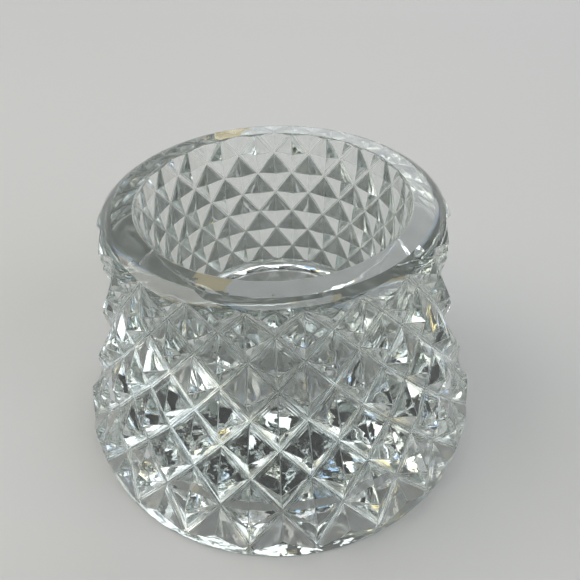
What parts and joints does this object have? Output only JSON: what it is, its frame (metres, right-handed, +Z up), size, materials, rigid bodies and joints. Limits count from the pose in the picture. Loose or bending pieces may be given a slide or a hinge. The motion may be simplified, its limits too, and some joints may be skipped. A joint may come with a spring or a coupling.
{
  "type": "sugar bowl",
  "caption": "Heavy clear crystal sugar bowl, flaring to a wide foot, its outside cut all over with sharp diamonds, with a flat polished rim and a smooth inside.",
  "frame": {"origin": "middle of the underside, on the surface that the bowl stands on", "axes": "+Z up along the bowl's own axis; a groove crossing of the lowest row faces near -Y"},
  "size_m": [0.122, 0.122, 0.072],
  "materials": {
    "crystal": "polished"
  },
  "bodies": {
    "root": {"bowl": "crystal"}
  },
  "joints": []
}
